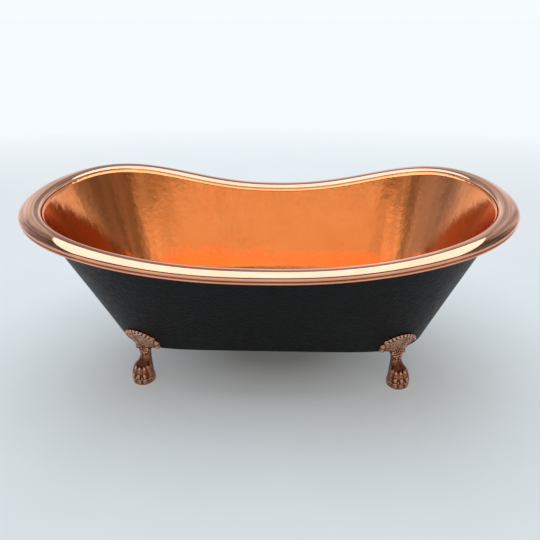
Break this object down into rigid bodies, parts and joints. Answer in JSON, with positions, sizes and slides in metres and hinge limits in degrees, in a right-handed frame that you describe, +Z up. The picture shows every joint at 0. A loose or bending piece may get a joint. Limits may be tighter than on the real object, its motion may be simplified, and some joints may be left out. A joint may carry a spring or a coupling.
{
  "type": "clawfoot bathtub",
  "caption": "Double-ended freestanding bath with a copper inside, black outside, rolled rim dipping in the middle, cast claw feet and a push-open waste.",
  "frame": {"origin": "on the floor under the middle of the bath", "axes": "+X along the bath's length, -Y towards the side that the picture shows, +Z up"},
  "size_m": [1.6798, 0.9203, 0.668],
  "materials": {
    "polished_copper": "bright polished copper, lightly planished inside",
    "black_paint": "black satin paint with a fine leather-like texture",
    "antique_copper": "antiqued brown copper casting with rubbed highlights",
    "frame_steel": "satin primer on steel tube",
    "zinc_steel": "zinc-plated steel",
    "waste_copper": "polished copper-plated brass",
    "waste_brass": "plain turned brass",
    "black_rubber": "matt black rubber",
    "white_plastic": "moulded plastic"
  },
  "bodies": {
    "bath": {"basin_floor": "polished_copper", "basin_side_front": "polished_copper", "basin_side_back": "polished_copper", "basin_end_left": "polished_copper", "basin_end_right": "polished_copper", "casing_floor": "black_paint", "casing_side_front": "black_paint", "casing_side_back": "black_paint", "casing_end_left": "black_paint", "casing_end_right": "black_paint", "rolled_rim": "polished_copper", "rim_bead": "polished_copper", "frame_rail_front": "frame_steel", "frame_rail_back": "frame_steel", "frame_cross_member_1": "frame_steel", "frame_cross_member_2": "frame_steel", "frame_cross_member_3": "frame_steel", "frame_cross_member_4": "frame_steel", "frame_pads": "black_rubber", "foot_front_right": "antique_copper", "foot_front_left": "antique_copper", "foot_back_right": "antique_copper", "foot_back_left": "antique_copper", "foot_plate_front_right": "frame_steel", "foot_plate_front_left": "frame_steel", "foot_plate_back_right": "frame_steel", "foot_plate_back_left": "frame_steel", "foot_bolts": "zinc_steel", "foot_washers": "zinc_steel", "foot_nuts": "zinc_steel", "waste_body": "waste_copper", "waste_top_gasket": "black_rubber", "waste_lower_gasket": "black_rubber", "waste_slip_washer": "white_plastic", "waste_backnut": "waste_brass", "waste_cartridge": "waste_brass"},
    "plug": {"plug_cap": "waste_copper", "plug_seal": "black_rubber", "plug_stem": "zinc_steel"}
  },
  "joints": [
    {"name": "plug_lift", "type": "slide", "parent": "bath", "child": "plug", "axis": [0, 0, 1], "range_m": [0, 0.009]}
  ]
}
